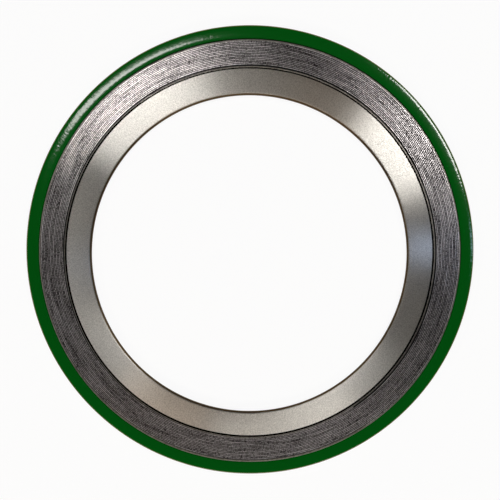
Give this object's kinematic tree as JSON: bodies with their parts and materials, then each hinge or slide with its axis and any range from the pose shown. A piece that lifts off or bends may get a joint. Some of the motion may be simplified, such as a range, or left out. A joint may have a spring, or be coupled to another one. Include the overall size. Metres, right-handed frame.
{
  "type": "spiral wound gasket",
  "caption": "Flat round pipe flange gasket: painted outer ring, raised band of wound steel strip and graphite, and plain steel inner ring round an open bore.",
  "frame": {"origin": "on the bore axis, in the plane of the lower sealing face", "axes": "+Z along the bore axis, out of the upper sealing face; the filler starts 132 degrees round from +X"},
  "size_m": [0.2222, 0.2222, 0.0045],
  "materials": {
    "green_paint": "gloss",
    "wound_steel": "satin",
    "turned_steel": "satin"
  },
  "bodies": {
    "root": {"centering_ring": "green_paint", "spiral_winding": "wound_steel", "inner_ring": "turned_steel"}
  },
  "joints": []
}
